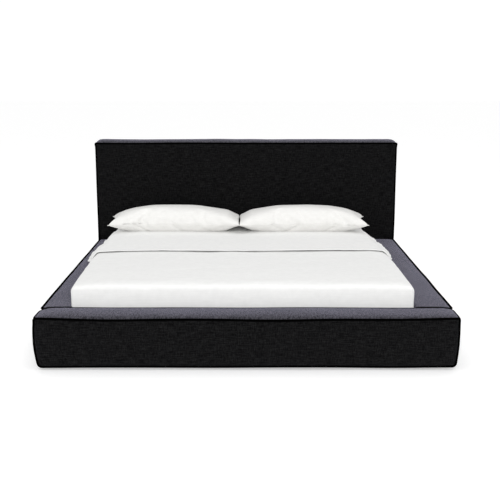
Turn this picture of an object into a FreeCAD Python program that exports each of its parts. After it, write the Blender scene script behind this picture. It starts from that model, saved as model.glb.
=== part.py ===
"""King-size upholstered platform bed with four storage drawers, in millimetres.

The bed is four padded timber boxes (headboard, foot rail, two side rails) round a sunken slatted deck.
Two drawers run out through each side rail on three-member ball slides.
+Z is up, +Y points from the foot to the head, +X is to the right seen from the foot.
The origin is on the floor under the middle of the bed.
"""
import FreeCAD
import Part
import math
import os

V = FreeCAD.Vector

# ---- driving dimensions ----
MATTRESS_W = 1930.0
MATTRESS_L = 2030.0
MATTRESS_T = 200.0
RAIL_T = 210.0            # thickness of the foot rail and the side rails
HEAD_T = 200.0            # thickness of the headboard
SIDE_GAP = 10.0           # mattress to side rail
END_GAP = 8.0             # mattress to foot rail and to headboard
GLIDE_H = 22.0            # floor to the timber frames
SKIRT_Z = 20.0            # floor to the lower edge of the fabric
RAIL_TOP = 300.0
HEAD_TOP = 1077.0
DECK_TOP = 215.0          # top of the slats

# ---- materials as they are cut ----
CLOTH = 2.0               # upholstery fabric with its backing
FOAM = 22.0               # foam on the rails
HEAD_FOAM = 40.0          # foam on the front of the headboard
BATTING = 12.0            # thin wadding on the back of the headboard
BOARD = 18.0              # plywood
PIPING_R = 4.5
PIPING_INSET = 3.0        # piping centre line behind the two faces that meet at a seam
GROOVE_CLEAR = 0.2        # room round the piping in the fabric and foam
BUTT_GAP = 1.0            # between the two ends of a loop of piping
SLACK = 2.0               # gap between a side rail's end and the box that it butts against
RIB_COUNT = 5             # ribs across the foot rail, and across the headboard
FACE_PLY = 9.0            # plywood under the foam on the headboard's front
BACK_PLY = 6.0            # plywood on its back
HEAD_BLOCK_Z = (32.0, 200.0)  # timber facing low on the headboard, which the side rails butt against

# ---- outer places worked out from those ----
HALF_W = MATTRESS_W / 2 + SIDE_GAP + RAIL_T
DEPTH = RAIL_T + END_GAP + MATTRESS_L + END_GAP + HEAD_T
FOOT_Y = -DEPTH / 2
FOOT_BACK_Y = FOOT_Y + RAIL_T
HEAD_Y = DEPTH / 2 - HEAD_T
HEAD_BACK_Y = DEPTH / 2
RAIL_INNER_X = HALF_W - RAIL_T
RAIL_Y0 = FOOT_BACK_Y + SLACK
RAIL_Y1 = HEAD_Y - SLACK
BED_MID_Y = (FOOT_BACK_Y + HEAD_Y) / 2

# ---- corner radii of the padded boxes, seen from the foot ----
TOP_R = 14.0
BOTTOM_R = 28.0

# ---- drawers ----
END_STILE = 76.0
MID_STILE = 60.0
DRAWER_GAP = 3.0
BAY_TOP = 167.0           # top of the runner panels, under the slat ledge
BAY_END_X = 560.0         # inner end of the runner panels
INNER_BOARD_Z = 177.0     # lower edge of the side rail's inner board
OPENING_TOP = 202.0       # top of the drawer openings in the side rail's face
FRONT_Z0, FRONT_Z1 = 24.0, 184.0   # the gap over each drawer front is its finger grip
PAD_EDGE_R = 6.0          # rounded front edges of a drawer front
BOX_Z0, BOX_Z1 = 34.0, 160.0
BOX_BACK_X = 603.0
BOX_BOARD = 12.0
BOTTOM_T = 6.0
BOTTOM_Z = 40.0
SLIDE_T = 13.0
SLIDE_LENGTH = 500.0
SLIDE_FRONT_X = 1130.0
SLIDE_Z = 96.0
STEEL = 1.5
FIXED_FLANGE, FIXED_HALF_H = 9.0, 22.5    # reach and half height of each slide member
MIDDLE_WEB, MIDDLE_FLANGE, MIDDLE_HALF_H = 4.0, 10.5, 19.0
DRAWER_FLANGE, DRAWER_HALF_H = 6.0, 15.0

# ---- deck ----
SLAT_T = 18.0
SLAT_W = 80.0
SLAT_COUNT = 13
SLAT_PITCH = 155.0
SLAT_INNER_GAP = 2.0      # from the bed's centre line to a slat's end
SLAT_OUTER_GAP = 5.0      # from a slat's other end to the side rail
SLAT_EDGE_R = 3.0
LEDGE_W, LEDGE_H = 30.0, 30.0
BEAM_W, BEAM_H = 45.0, 60.0
TIMBER_END_GAP = 2.0      # from the ledges' and the beam's ends to the ends of the side rails
STRAP_T, STRAP_W = 1.5, 25.0
STRAP_XS = (-700.0, -280.0, 280.0, 700.0)
STRAP_END_GAP = 5.0       # from a strap's end to the edge of the last slat
HANGER_T = 2.0
HANGER_CLEAR = 0.3        # room round the beam in its hangers
HANGER_HALF_W = 60.0
HANGER_SEAT = 50.0        # how far a hanger reaches under the beam
HANGER_SIDE_H = 38.0
HANGER_BACK_BELOW, HANGER_BACK_TOP_GAP = 15.0, 5.0
LEG_SPACING = 680.0
LEG_PAD_T = 6.0
GLIDE_R = 25.0
GLIDE_CHAMFER = 2.0

# ---- corner joints ----
BRACKET_T = 5.0
BRACKET_LEG = 56.0
BRACKET_Z0, BRACKET_Z1 = 60.0, 135.0
BOLT_R = 4.0
BLOCK_BOLT = 45.0         # bolt length into a timber block
BOARD_BOLT = CLOTH + BOARD  # bolt length into the foot rail's back board
BOLT_HEAD_R, BOLT_HEAD_T = 7.5, 5.5
BOLT_ZS = (80.0, 115.0)
BOLT_HOLE_R = 4.6
BOLT_HOLE_PAST = 2.0      # how far a bolt's hole runs on past its end
END_BLOCK = 50.0          # timber block in each end of a side rail, which takes the bolts

# ---- mattress and bedding ----
MATTRESS_Z0 = DECK_TOP + STRAP_T + 0.5
MATTRESS_CORNER_R = 60.0
MATTRESS_EDGE_R = 25.0
SHEET_T = 1.5
COVERLET_T = 3.0
PLY_CLEAR = 0.5           # air between two layers of bedding
FOLD_Y = HEAD_Y - 293.0   # where the coverlet folds back on itself
HEM_Y = FOOT_Y + 1208.0   # hem of the folded-back part
HEM_DROP_Z = 306.0        # how far down the folded-back part hangs at the sides
TUCK_Z = 230.0            # how far down the coverlet and sheet are tucked
PILLOW_T = 190.0
PILLOW_EDGE_R = PILLOW_T * 0.46
PILLOW_Y0, PILLOW_Y1 = HEAD_Y - 439.0, HEAD_Y - 5.0
PILLOW_SPANS = {"left_pillow": (-1056.0, -60.0), "right_pillow": (-50.0, 925.0)}


# ---------------------------------------------------------------- helpers
def box(x0, x1, y0, y1, z0, z1):
    """A box between two corners; each pair of limits may be given in either order."""
    low = V(min(x0, x1), min(y0, y1), min(z0, z1))
    return Part.makeBox(abs(x1 - x0), abs(y1 - y0), abs(z1 - z0), low)


def arc_corner(before, corner, after, radius):
    """Start, middle and end of the arc of that radius that rounds a corner between two straight runs."""
    back = (before - corner).normalize()
    ahead = (after - corner).normalize()
    half = back.getAngle(ahead) / 2
    reach = radius / math.tan(half)
    middle_dir = (back + ahead).normalize()
    centre = corner + middle_dir * (radius / math.sin(half))
    return corner + back * reach, centre - middle_dir * radius, corner + ahead * reach


def rounded_path(points, radii):
    """A wire of straight runs through points, with a tangent arc at each inner point."""
    edges = []
    at = points[0]
    for i in range(1, len(points) - 1):
        start, middle, end = arc_corner(points[i - 1], points[i], points[i + 1], radii[i - 1])
        edges.append(Part.LineSegment(at, start).toShape())
        edges.append(Part.Arc(start, middle, end).toShape())
        at = end
    edges.append(Part.LineSegment(at, points[-1]).toShape())
    return Part.Wire(edges)


def tube(points, radii, radius):
    """A round cord of that radius along rounded_path()."""
    path = rounded_path(points, radii)
    ring = Part.Wire([Part.makeCircle(radius, points[0], points[1] - points[0])])
    return path.makePipeShell([ring], True, False)


def rounded_prism(x0, x1, z0, z1, y0, y1, top_r, bottom_r):
    """A box along Y whose four long edges are rounded: top_r above, bottom_r below."""
    middle = V((x0 + x1) / 2, y0, z0)
    ring = [middle, V(x0, y0, z0), V(x0, y0, z1), V(x1, y0, z1), V(x1, y0, z0), middle]
    wire = rounded_path(ring, [bottom_r, top_r, top_r, bottom_r])
    return Part.Face(wire).extrude(V(0, y1 - y0, 0))


def cut_all(shape, tools):
    """shape with every tool cut from it."""
    for tool in tools:
        shape = shape.cut(tool)
    return shape


def mirrored(shape):
    """shape on the other side of the bed."""
    return shape.mirror(V(0, 0, 0), V(1, 0, 0))


def on_side(shape, side):
    """A shape made for the right side, put on the side asked for."""
    return shape if side == "right" else mirrored(shape)


def export(name, shapes):
    """Writes one node: a single solid, or a group of separate ones."""
    solids = []
    for shape in shapes if isinstance(shapes, list) else [shapes]:
        solids.extend(shape.Solids)
    for solid in solids:
        if not solid.isValid() or solid.Volume <= 0:
            raise ValueError(f"{name} holds a bad solid")
    whole = solids[0] if len(solids) == 1 else Part.makeCompound(solids)
    whole.exportStep(f"parts/{name}.step")
    print(f"{name}: {len(solids)} solid(s), {whole.Volume / 1e6:.2f} litres")


# ---------------------------------------------------------------- drawer layout
def drawer_openings():
    """Name of each drawer position along a side rail, with the opening's two ends along Y."""
    width = (RAIL_Y1 - RAIL_Y0 - 2 * END_STILE - MID_STILE) / 2
    front = RAIL_Y0 + END_STILE
    rear = RAIL_Y1 - END_STILE - width
    return {"front": (front, front + width), "rear": (rear, rear + width)}


OPENINGS = drawer_openings()


def opening_cutters():
    """Openings in the right side rail's cover: one for each drawer, and one under the inner board."""
    tools = [box(HALF_W - CLOTH, HALF_W, y0, y1, 0, OPENING_TOP) for y0, y1 in OPENINGS.values()]
    inner_x = RAIL_INNER_X + CLOTH
    tools.append(box(RAIL_INNER_X, inner_x, RAIL_Y0 + CLOTH, RAIL_Y1 - CLOTH, 0, INNER_BOARD_Z))
    return tools


# ---------------------------------------------------------------- bolts and brackets
def bolt(head_at, direction, length):
    """A hexagon-head bolt whose head's underside is at head_at, with its shank along direction."""
    hexagon = Part.makePolygon([V(BOLT_HEAD_R, 0, 0)] + [
        V(BOLT_HEAD_R * math.cos(k * math.pi / 3), BOLT_HEAD_R * math.sin(k * math.pi / 3), 0)
        for k in range(1, 7)
    ])
    head = Part.Face(hexagon).extrude(V(0, 0, -BOLT_HEAD_T))
    shank = Part.makeCylinder(BOLT_R, length)
    whole = head.fuse(shank).removeSplitter()
    whole.Placement = FreeCAD.Placement(head_at, FreeCAD.Rotation(V(0, 0, 1), direction))
    return whole


def corner_joints():
    """Brackets, bolts and bolt-hole cutters for the four corners of the deck."""
    brackets, bolts, holes = [], [], []
    for side in (-1, 1):
        for face_y, into, end_length in ((FOOT_BACK_Y, 1, BOARD_BOLT), (HEAD_Y, -1, BLOCK_BOLT)):
            x = side * RAIL_INNER_X
            leg_y, plate_y = face_y + into * BRACKET_LEG, face_y + into * BRACKET_T
            on_rail = box(x, x - side * BRACKET_T, face_y, leg_y, BRACKET_Z0, BRACKET_Z1)
            on_end = box(x, x - side * BRACKET_LEG, face_y, plate_y, BRACKET_Z0, BRACKET_Z1)
            plate = on_rail.fuse(on_end).removeSplitter()
            for z in BOLT_ZS:
                rail_head = V(x - side * BRACKET_T, face_y + into * BRACKET_LEG * 0.6, z)
                end_head = V(x - side * BRACKET_LEG * 0.65, plate_y, z)
                fixings = ((rail_head, V(side, 0, 0), BLOCK_BOLT), (end_head, V(0, -into, 0), end_length))
                for head_at, direction, length in fixings:
                    bolts.append(bolt(head_at, direction, length))
                    hole = Part.makeCylinder(BOLT_HOLE_R, length + BOLT_HOLE_PAST, head_at, direction)
                    holes.append(hole)
                    plate = plate.cut(hole)
            brackets.append(plate)
    return brackets, bolts, holes


# ---------------------------------------------------------------- piping
# clear is 0 for the cord itself, and the room round it for the groove that it lies in.
def face_loop(y, z1, top_r, bottom_r, clear):
    """Piping round a whole face seen from the foot, with its butt joint under the middle."""
    butt = PIPING_R + BUTT_GAP / 2 - clear
    x = HALF_W - PIPING_INSET
    z0, z1 = SKIRT_Z + PIPING_INSET, z1 - PIPING_INSET
    ring = [V(-butt, y, z0), V(-x, y, z0), V(-x, y, z1), V(x, y, z1), V(x, y, z0), V(butt, y, z0)]
    low_r, high_r = bottom_r - PIPING_INSET, top_r - PIPING_INSET
    return tube(ring, [low_r, high_r, high_r, low_r], PIPING_R + clear)


def foot_rail_piping(clear=0.0):
    """The loop round the front face, and the run along the back and both ends of the top."""
    front = FOOT_Y + PIPING_INSET
    start = front + 2 * PIPING_R + BUTT_GAP - clear
    back = FOOT_BACK_Y - PIPING_INSET
    x, z = HALF_W - PIPING_INSET, RAIL_TOP - PIPING_INSET
    top_run = [V(-x, start, z), V(-x, back, z), V(x, back, z), V(x, start, z)]
    loop = face_loop(front, RAIL_TOP, TOP_R, BOTTOM_R, clear)
    return [loop, tube(top_run, [TOP_R, TOP_R], PIPING_R + clear)]


def headboard_piping(clear=0.0):
    """One loop round the front face and one round the back face."""
    ys = (HEAD_Y + PIPING_INSET, HEAD_BACK_Y - PIPING_INSET)
    return [face_loop(y, HEAD_TOP, TOP_R, TOP_R, clear) for y in ys]


def side_rail_piping(clear=0.0):
    """The straight run along the outer top edge of the right side rail."""
    x, z = HALF_W - PIPING_INSET, RAIL_TOP - PIPING_INSET
    end_gap = BUTT_GAP / 2 - clear
    start = V(x, RAIL_Y0 + end_gap, z)
    return Part.makeCylinder(PIPING_R + clear, RAIL_Y1 - RAIL_Y0 - 2 * end_gap, start, V(0, 1, 0))


# ---------------------------------------------------------------- foot rail
def foot_rail(grooves, holes):
    """Frame, foam and cover of the foot rail."""
    inset = CLOTH + FOAM
    fx, fz = HALF_W - inset, RAIL_TOP - inset
    y0, y1 = FOOT_Y + inset, FOOT_BACK_Y - CLOTH
    z0 = GLIDE_H
    boards = [
        box(-fx, fx, y0, y0 + BOARD, z0, fz),
        box(-fx, fx, y1 - BOARD, y1, z0, fz),
        box(-fx, fx, y0 + BOARD, y1 - BOARD, fz - BOARD, fz),
    ]
    for i in range(RIB_COUNT):
        x = -fx + i * (2 * fx - BOARD) / (RIB_COUNT - 1)
        boards.append(box(x, x + BOARD, y0 + BOARD, y1 - BOARD, z0, fz - BOARD))
    boards = [cut_all(board, holes) for board in boards]

    core = rounded_prism(-HALF_W + CLOTH, HALF_W - CLOTH, SKIRT_Z + CLOTH, RAIL_TOP - CLOTH,
                         FOOT_Y + CLOTH, FOOT_BACK_Y - CLOTH, TOP_R - CLOTH, BOTTOM_R - CLOTH)
    slabs = [
        box(-HALF_W, HALF_W, FOOT_Y, y0, 0, RAIL_TOP),
        box(-HALF_W, HALF_W, y0, y1, fz, RAIL_TOP),
        box(-HALF_W, -fx, y0, y1, 0, fz),
        box(fx, HALF_W, y0, y1, 0, fz),
    ]
    foam = [cut_all(core.common(slab), grooves) for slab in slabs]

    outer = rounded_prism(-HALF_W, HALF_W, SKIRT_Z, RAIL_TOP, FOOT_Y, FOOT_BACK_Y, TOP_R, BOTTOM_R)
    open_below = box(-fx, fx, y0, y1, 0, GLIDE_H + 1)
    cover = cut_all(outer, [core, open_below] + grooves + holes)
    return boards, foam, cover


# ---------------------------------------------------------------- side rail
def side_rail(grooves, holes):
    """Frame, foam and cover of the right side rail, with its drawer openings."""
    outer_x = HALF_W - CLOTH - FOAM
    inner_x = RAIL_INNER_X + CLOTH
    fz = RAIL_TOP - CLOTH - FOAM
    y0, y1 = RAIL_Y0 + CLOTH, RAIL_Y1 - CLOTH
    boards = [
        box(inner_x, inner_x + BOARD, y0, y1, INNER_BOARD_Z, fz),
        box(outer_x - BOARD, outer_x, y0, y1, OPENING_TOP, fz),
        box(inner_x + BOARD, outer_x - BOARD, y0, y1, fz - BOARD, fz),
    ]
    for end in (y0, y1 - END_BLOCK):
        low = box(RAIL_INNER_X, outer_x - BOARD, end, end + END_BLOCK, GLIDE_H, INNER_BOARD_Z)
        high = box(inner_x + BOARD, outer_x - BOARD, end, end + END_BLOCK, INNER_BOARD_Z, fz - BOARD)
        boards.append(low.fuse(high).removeSplitter())
    for y in rib_places():
        boards.append(box(inner_x + BOARD, outer_x - BOARD, y, y + BOARD, BAY_TOP, fz - BOARD))
    for s0, s1 in stiles():
        boards.append(box(outer_x - BOARD, outer_x, s0, s1, GLIDE_H, OPENING_TOP))
    boards = [cut_all(board, holes) for board in boards]

    foam = [
        box(inner_x, HALF_W - CLOTH, y0, y1, fz, RAIL_TOP - CLOTH),
        box(outer_x, HALF_W - CLOTH, y0, y1, OPENING_TOP, fz),
    ]
    foam += [box(outer_x, HALF_W - CLOTH, s0, s1, GLIDE_H, OPENING_TOP) for s0, s1 in stiles()]
    foam = [cut_all(slab, grooves) for slab in foam]

    outer = box(RAIL_INNER_X, HALF_W, RAIL_Y0, RAIL_Y1, SKIRT_Z, RAIL_TOP)
    core = box(inner_x, HALF_W - CLOTH, y0, y1, 0, RAIL_TOP - CLOTH)
    cover = cut_all(outer, [core] + opening_cutters() + grooves + holes)
    return boards, foam, cover


def stiles():
    """Ends along Y of the fixed parts of the side rail's face, between and beside the drawers."""
    (f0, f1), (r0, r1) = OPENINGS["front"], OPENINGS["rear"]
    return [(RAIL_Y0 + CLOTH, f0), (f1, r0), (r1, RAIL_Y1 - CLOTH)]


def rib_places():
    """Low Y of the ribs and runner panels on either side of each opening, clear of it by the cloth."""
    places = []
    for y0, y1 in OPENINGS.values():
        places += [y0 - CLOTH - BOARD, y1 + CLOTH]
    return places


def drawer_bay():
    """Runner panels of the right side, with the board that ties their inner ends together."""
    outer_x = HALF_W - CLOTH - FOAM - BOARD
    panels = [box(BAY_END_X, outer_x, y, y + BOARD, GLIDE_H, BAY_TOP) for y in rib_places()]
    places = rib_places()
    tie = box(BAY_END_X - BOARD, BAY_END_X, min(places), max(places) + BOARD, GLIDE_H, BAY_TOP)
    return panels + [tie]


# ---------------------------------------------------------------- headboard
def headboard(grooves, holes):
    """Frame, back panel, foam and cover of the headboard."""
    inset = CLOTH + FOAM
    fx, fz = HALF_W - inset, HEAD_TOP - inset
    front = HEAD_Y + CLOTH
    panel_y = front + HEAD_FOAM
    stud_y0 = panel_y + FACE_PLY
    stud_y1 = HEAD_BACK_Y - CLOTH - BATTING - BACK_PLY
    block_z0, block_top = HEAD_BLOCK_Z
    frame = [
        box(-fx, fx, front, panel_y, block_z0, block_top),
        box(-fx, fx, panel_y, stud_y0, GLIDE_H, fz),
        box(-fx, fx, stud_y0, stud_y1, GLIDE_H, GLIDE_H + BOARD),
        box(-fx, fx, stud_y0, stud_y1, fz - BOARD, fz),
    ]
    for i in range(RIB_COUNT):
        x = -fx + i * (2 * fx - BOARD) / (RIB_COUNT - 1)
        frame.append(box(x, x + BOARD, stud_y0, stud_y1, GLIDE_H + BOARD, fz - BOARD))
    frame = [cut_all(board, holes) for board in frame]
    back_panel = box(-fx, fx, stud_y1, stud_y1 + BACK_PLY, GLIDE_H, fz)

    core = rounded_prism(-HALF_W + CLOTH, HALF_W - CLOTH, SKIRT_Z + CLOTH, HEAD_TOP - CLOTH,
                         HEAD_Y + CLOTH, HEAD_BACK_Y - CLOTH, TOP_R - CLOTH, TOP_R - CLOTH)
    slabs = [
        box(-HALF_W, HALF_W, front, panel_y, block_top, HEAD_TOP),
        box(-HALF_W, HALF_W, panel_y, HEAD_BACK_Y, fz, HEAD_TOP),
        box(-fx, fx, stud_y1 + BACK_PLY, HEAD_BACK_Y, GLIDE_H, fz),
    ]
    for side in (-1, 1):
        slabs.append(box(side * fx, side * HALF_W, panel_y, HEAD_BACK_Y, 0, fz))
        slabs.append(box(side * fx, side * HALF_W, front, panel_y, 0, block_top))
    foam = [cut_all(core.common(slab), grooves) for slab in slabs]

    outer = rounded_prism(-HALF_W, HALF_W, SKIRT_Z, HEAD_TOP, HEAD_Y, HEAD_BACK_Y, TOP_R, TOP_R)
    open_below = box(-fx, fx, front, HEAD_BACK_Y - inset, 0, GLIDE_H + 1)
    cover = cut_all(outer, [core, open_below] + grooves + holes)
    return frame, back_panel, foam, cover


# ---------------------------------------------------------------- drawer
def slide_channel(root, web_t, flange_out, half_height, side, x0, x1):
    """One steel channel of a ball slide, with its web at root along Y and its flanges out to flange_out."""
    web = box(x0, x1, root, root + side * web_t, SLIDE_Z - half_height, SLIDE_Z + half_height)
    top = box(x0, x1, root, flange_out, SLIDE_Z + half_height - web_t, SLIDE_Z + half_height)
    low = box(x0, x1, root, flange_out, SLIDE_Z - half_height, SLIDE_Z - half_height + web_t)
    return web.fuse(top).fuse(low).removeSplitter()


def slide_members(y0, y1):
    """The fixed, middle and drawer members of the two slides of one drawer, on the right side."""
    fixed, middle, moving = [], [], []
    x0, x1 = SLIDE_FRONT_X - SLIDE_LENGTH, SLIDE_FRONT_X
    for wall, side in ((y0 - CLOTH, 1), (y1 + CLOTH, -1)):
        flange = wall + side * FIXED_FLANGE
        fixed.append(slide_channel(wall, STEEL, flange, FIXED_HALF_H, side, x0, x1))
        web, flange = wall + side * MIDDLE_WEB, wall + side * MIDDLE_FLANGE
        middle.append(slide_channel(web, STEEL, flange, MIDDLE_HALF_H, side, x0, x1))
        web = wall + side * SLIDE_T
        moving.append(slide_channel(web, STEEL, web - side * DRAWER_FLANGE, DRAWER_HALF_H, -side, x0, x1))
    return fixed, middle, moving


def drawer(y0, y1):
    """The pieces of one drawer of the right side, closed."""
    outer_x = HALF_W - CLOTH - FOAM
    f0, f1 = y0 + DRAWER_GAP, y1 - DRAWER_GAP
    board = box(outer_x - BOARD, outer_x, f0, f1, FRONT_Z0, FRONT_Z1)
    pad = box(outer_x, HALF_W, f0, f1, FRONT_Z0, FRONT_Z1)
    pad = pad.makeFillet(PAD_EDGE_R, [e for e in pad.Edges if e.BoundBox.XMin > HALF_W - 0.1])

    b0, b1 = y0 - CLOTH + SLIDE_T, y1 + CLOTH - SLIDE_T
    box_x1 = outer_x - BOARD
    into = BOX_BOARD / 2
    bottom = box(BOX_BACK_X + into, box_x1 - into, b0 + into, b1 - into, BOTTOM_Z, BOTTOM_Z + BOTTOM_T)
    walls = [
        box(BOX_BACK_X, box_x1, b0, b0 + BOX_BOARD, BOX_Z0, BOX_Z1),
        box(BOX_BACK_X, box_x1, b1 - BOX_BOARD, b1, BOX_Z0, BOX_Z1),
        box(BOX_BACK_X, BOX_BACK_X + BOX_BOARD, b0 + BOX_BOARD, b1 - BOX_BOARD, BOX_Z0, BOX_Z1),
        box(box_x1 - BOX_BOARD, box_x1, b0 + BOX_BOARD, b1 - BOX_BOARD, BOX_Z0, BOX_Z1),
    ]
    walls = [wall.cut(bottom) for wall in walls]
    return board, pad, walls, bottom


# ---------------------------------------------------------------- deck
def slat_run():
    """Distance from the middle of the bed to the outer edge of the last slat."""
    return (SLAT_PITCH * (SLAT_COUNT - 1) + SLAT_W) / 2


def slats(side):
    """One half-width set of slats, from the centre beam to the ledge of that side."""
    first = BED_MID_Y - slat_run()
    made = []
    for i in range(SLAT_COUNT):
        y = first + i * SLAT_PITCH
        outer = RAIL_INNER_X - SLAT_OUTER_GAP
        slat = box(SLAT_INNER_GAP, outer, y, y + SLAT_W, DECK_TOP - SLAT_T, DECK_TOP)
        slat = slat.makeFillet(SLAT_EDGE_R, [e for e in slat.Edges if e.Length > SLAT_W + 1])
        made.append(on_side(slat, side))
    return made


def slat_straps():
    """Webbing stapled along the tops of the slats, two lengths to a set."""
    y0, y1 = BED_MID_Y - slat_run() + STRAP_END_GAP, BED_MID_Y + slat_run() - STRAP_END_GAP
    half = STRAP_W / 2
    return [box(x - half, x + half, y0, y1, DECK_TOP, DECK_TOP + STRAP_T) for x in STRAP_XS]


def slat_ledges():
    """The timber ledge that carries the slats along the inner face of each side rail."""
    top = DECK_TOP - SLAT_T
    y0, y1 = RAIL_Y0 + TIMBER_END_GAP, RAIL_Y1 - TIMBER_END_GAP
    ledge = box(RAIL_INNER_X - LEDGE_W, RAIL_INNER_X, y0, y1, top - LEDGE_H, top)
    return [ledge, mirrored(ledge)]


def centre_beam():
    """The timber beam under the inner ends of the slats."""
    top = DECK_TOP - SLAT_T
    y0, y1 = RAIL_Y0 + TIMBER_END_GAP, RAIL_Y1 - TIMBER_END_GAP
    return box(-BEAM_W / 2, BEAM_W / 2, y0, y1, top - BEAM_H, top)


def beam_hangers():
    """A pressed-steel stirrup that holds each end of the centre beam."""
    under = DECK_TOP - SLAT_T - BEAM_H
    back_z0, back_z1 = under - HANGER_BACK_BELOW, under + BEAM_H - HANGER_BACK_TOP_GAP
    half = BEAM_W / 2 + HANGER_CLEAR
    outer = half + HANGER_T
    seat_z = under - HANGER_CLEAR
    made = []
    for face_y, into in ((FOOT_BACK_Y, 1), (HEAD_Y, -1)):
        plate_y, seat_y = face_y + into * HANGER_T, face_y + into * HANGER_SEAT
        back = box(-HANGER_HALF_W, HANGER_HALF_W, face_y, plate_y, back_z0, back_z1)
        seat = box(-outer, outer, face_y, seat_y, seat_z - HANGER_T, under + HANGER_SIDE_H)
        hollow = box(-half, half, plate_y, seat_y + into, seat_z, under + BEAM_H)
        made.append(back.fuse(seat).removeSplitter().cut(hollow))
    return made


LEG_YS = (BED_MID_Y - LEG_SPACING, BED_MID_Y, BED_MID_Y + LEG_SPACING)


def centre_legs():
    """Square timber posts under the centre beam."""
    top = DECK_TOP - SLAT_T - BEAM_H
    half = BEAM_W / 2
    return [box(-half, half, y - half, y + half, LEG_PAD_T, top) for y in LEG_YS]


def floor_glides():
    """Plastic discs under the frames, and thinner pads under the centre legs."""
    foot_y = (FOOT_Y + FOOT_BACK_Y) / 2
    head_y = HEAD_Y + HEAD_T * 0.55
    end_x = HALF_W - CLOTH - FOAM - GLIDE_R - 1
    half_x = end_x / 2 + 6
    places = [(x, foot_y) for x in (-end_x, -half_x, 0, half_x, end_x)]
    places += [(x, head_y) for x in (-end_x, -end_x / 3, end_x / 3, end_x)]
    bay_x, rail_x = BAY_END_X + 60, HALF_W - RAIL_T / 2
    first, last = min(rib_places()) + BOARD / 2, max(rib_places()) + BOARD / 2
    for y in (first, (first + last) / 2, last):
        places += [(x, y) for x in (-bay_x, -rail_x, bay_x, rail_x)]
    glides = [Part.makeCylinder(GLIDE_R, GLIDE_H, V(x, y, 0)) for x, y in places]
    glides = [g.makeChamfer(GLIDE_CHAMFER, [e for e in g.Edges if e.BoundBox.ZMax < 0.1]) for g in glides]
    return glides + [Part.makeCylinder(GLIDE_R, LEG_PAD_T, V(0, y, 0)) for y in LEG_YS]


# ---------------------------------------------------------------- mattress and bedding
def mattress_form(grow, z0):
    """The mattress's outline grown by that much at the sides and top, from z0 up."""
    half = MATTRESS_W / 2 + grow
    y0, y1 = BED_MID_Y - MATTRESS_L / 2 - grow, BED_MID_Y + MATTRESS_L / 2 + grow
    form = box(-half, half, y0, y1, z0, MATTRESS_Z0 + MATTRESS_T + grow)
    upright = [e for e in form.Edges if abs(e.tangentAt(e.FirstParameter).z) > 0.9]
    form = form.makeFillet(MATTRESS_CORNER_R + grow, upright)
    rim = [e for e in form.Edges if e.BoundBox.ZMin > MATTRESS_Z0 + MATTRESS_T + grow - 0.1]
    return form.makeFillet(MATTRESS_EDGE_R + grow, rim)


def cloth_layer(inside, thickness, z0, y_limits):
    """A layer of cloth over the mattress, down to z0, between two places along the bed."""
    shell = mattress_form(inside + thickness, z0).cut(mattress_form(inside, z0 - 1))
    return shell.common(box(-HALF_W, HALF_W, y_limits[0], y_limits[1], 0, HEAD_TOP))


def pillow(x0, x1):
    """A plain rounded block the size of a filled king pillow, lying flat."""
    z0 = MATTRESS_Z0 + MATTRESS_T + SHEET_T + 2 * COVERLET_T + 3 * PLY_CLEAR + 0.5
    block = box(x0, x1, PILLOW_Y0, PILLOW_Y1, z0, z0 + PILLOW_T)
    return block.makeFillet(PILLOW_EDGE_R, block.Edges)


# ---------------------------------------------------------------- build
def build():
    """Makes and writes every node."""
    os.makedirs("parts", exist_ok=True)
    brackets, bolts, holes = corner_joints()

    frame, foam, cover = foot_rail(foot_rail_piping(GROOVE_CLEAR), holes)
    export("foot_rail_frame", frame)
    export("foot_rail_foam", foam)
    export("foot_rail_cover", cover)
    export("foot_rail_piping", foot_rail_piping())

    frame, back_panel, foam, cover = headboard(headboard_piping(GROOVE_CLEAR), holes)
    export("headboard_frame", frame)
    export("headboard_back_panel", back_panel)
    export("headboard_foam", foam)
    export("headboard_cover", cover)
    export("headboard_piping", headboard_piping())

    frame, foam, cover = side_rail([side_rail_piping(GROOVE_CLEAR)], holes)
    for side in ("left", "right"):
        export(f"{side}_rail_frame", [on_side(board, side) for board in frame])
        export(f"{side}_rail_foam", [on_side(slab, side) for slab in foam])
        export(f"{side}_rail_cover", on_side(cover, side))
        export(f"{side}_rail_piping", on_side(side_rail_piping(), side))
        export(f"{side}_drawer_bay", [on_side(panel, side) for panel in drawer_bay()])
        export(f"{side}_slats", slats(side))

    fixed_members = []
    for place, (y0, y1) in OPENINGS.items():
        board, pad, walls, bottom = drawer(y0, y1)
        fixed, middle, moving = slide_members(y0, y1)
        for side in ("left", "right"):
            name = f"{place}_{side}_drawer"
            export(f"{name}_front_board", on_side(board, side))
            export(f"{name}_front_pad", on_side(pad, side))
            export(f"{name}_box", [on_side(wall, side) for wall in walls])
            export(f"{name}_bottom", on_side(bottom, side))
            export(f"{name}_slides", [on_side(member, side) for member in moving])
            export(f"{place}_{side}_middle_slides", [on_side(member, side) for member in middle])
            fixed_members += [on_side(member, side) for member in fixed]
    export("fixed_slides", fixed_members)

    export("slat_ledges", slat_ledges())
    export("slat_straps", slat_straps())
    export("centre_beam", centre_beam())
    export("beam_hangers", beam_hangers())
    export("centre_legs", centre_legs())
    export("floor_glides", floor_glides())
    export("corner_brackets", brackets)
    export("corner_bolts", bolts)

    coverlet_in = SHEET_T + PLY_CLEAR
    turndown_in = coverlet_in + COVERLET_T + PLY_CLEAR
    foot_end = BED_MID_Y - MATTRESS_L
    export("mattress", mattress_form(0, MATTRESS_Z0))
    export("fitted_sheet", cloth_layer(0, SHEET_T, TUCK_Z, (foot_end, HEAD_Y)))
    export("coverlet", cloth_layer(coverlet_in, COVERLET_T, TUCK_Z, (foot_end, FOLD_Y)))
    export("turned_down_sheet", cloth_layer(turndown_in, COVERLET_T, HEM_DROP_Z, (HEM_Y, FOLD_Y)))
    for name, (x0, x1) in PILLOW_SPANS.items():
        export(name, pillow(x0, x1))


build()
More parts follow.
